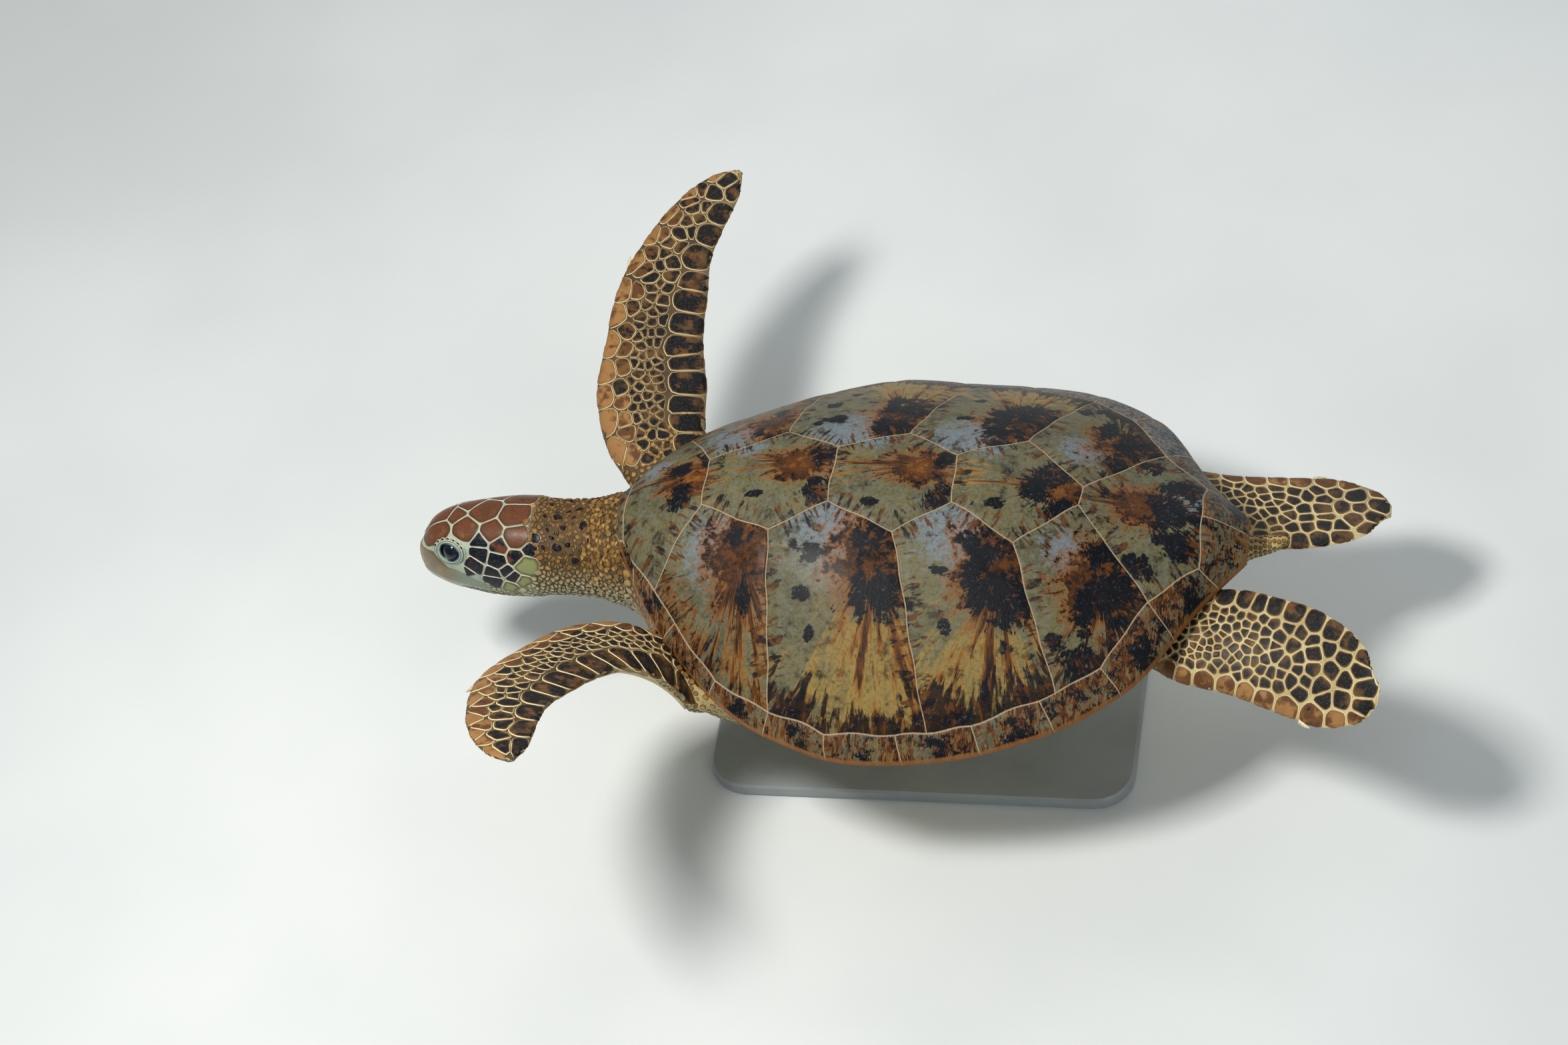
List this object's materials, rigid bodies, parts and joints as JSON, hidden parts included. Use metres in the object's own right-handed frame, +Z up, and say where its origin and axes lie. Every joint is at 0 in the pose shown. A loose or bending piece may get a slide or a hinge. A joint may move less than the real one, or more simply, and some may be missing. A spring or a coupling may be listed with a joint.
{
  "type": "green sea turtle model",
  "caption": "Life-size still model of a green sea turtle in a gliding swim, held level by a plain flat-based display stand with short rods.",
  "frame": {"origin": "centre of the underside of the stand's base", "axes": "+Z up; -X towards the turtle's head, +X towards its tail; -Y is the turtle's left side"},
  "size_m": [1.2587, 1.1439, 0.5347],
  "materials": {
    "carapace_horn": "satin horn, mottled olive, tan, rust and blue-black rays",
    "plastron_horn": "satin horn, pale yellow",
    "scaled_skin": "matt scaled skin, dark scales in a cream network",
    "beak_horn": "satin horn, tan and cream",
    "claw_horn": "satin horn",
    "eye": "wet gloss, dark blue-black",
    "stand_metal": "satin dark powder coat"
  },
  "bodies": {
    "root": {"beak_lower": "beak_horn", "beak_upper": "beak_horn", "carapace_costal_left_1": "carapace_horn", "carapace_costal_left_2": "carapace_horn", "carapace_costal_left_3": "carapace_horn", "carapace_costal_left_4": "carapace_horn", "carapace_costal_right_1": "carapace_horn", "carapace_costal_right_2": "carapace_horn", "carapace_costal_right_3": "carapace_horn", "carapace_costal_right_4": "carapace_horn", "carapace_marginals_left": "carapace_horn", "carapace_marginals_right": "carapace_horn", "carapace_nuchal": "carapace_horn", "carapace_vertebral_1": "carapace_horn", "carapace_vertebral_2": "carapace_horn", "carapace_vertebral_3": "carapace_horn", "carapace_vertebral_4": "carapace_horn", "carapace_vertebral_5": "carapace_horn", "claw_front_left": "claw_horn", "claw_front_right": "claw_horn", "claw_hind_left": "claw_horn", "claw_hind_right": "claw_horn", "eye_left": "eye", "eye_right": "eye", "flipper_front_left": "scaled_skin", "flipper_front_right": "scaled_skin", "flipper_hind_left": "scaled_skin", "flipper_hind_right": "scaled_skin", "head": "scaled_skin", "neck": "scaled_skin", "plastron_abdominal_left": "plastron_horn", "plastron_abdominal_right": "plastron_horn", "plastron_anal_left": "plastron_horn", "plastron_anal_right": "plastron_horn", "plastron_bridge_left": "plastron_horn", "plastron_bridge_right": "plastron_horn", "plastron_femoral_left": "plastron_horn", "plastron_femoral_right": "plastron_horn", "plastron_gular_left": "plastron_horn", "plastron_gular_right": "plastron_horn", "plastron_humeral_left": "plastron_horn", "plastron_humeral_right": "plastron_horn", "plastron_pectoral_left": "plastron_horn", "plastron_pectoral_right": "plastron_horn", "stand_base": "stand_metal", "stand_rod_front": "stand_metal", "stand_rod_rear": "stand_metal", "tail": "scaled_skin", "trunk": "scaled_skin"}
  },
  "joints": []
}
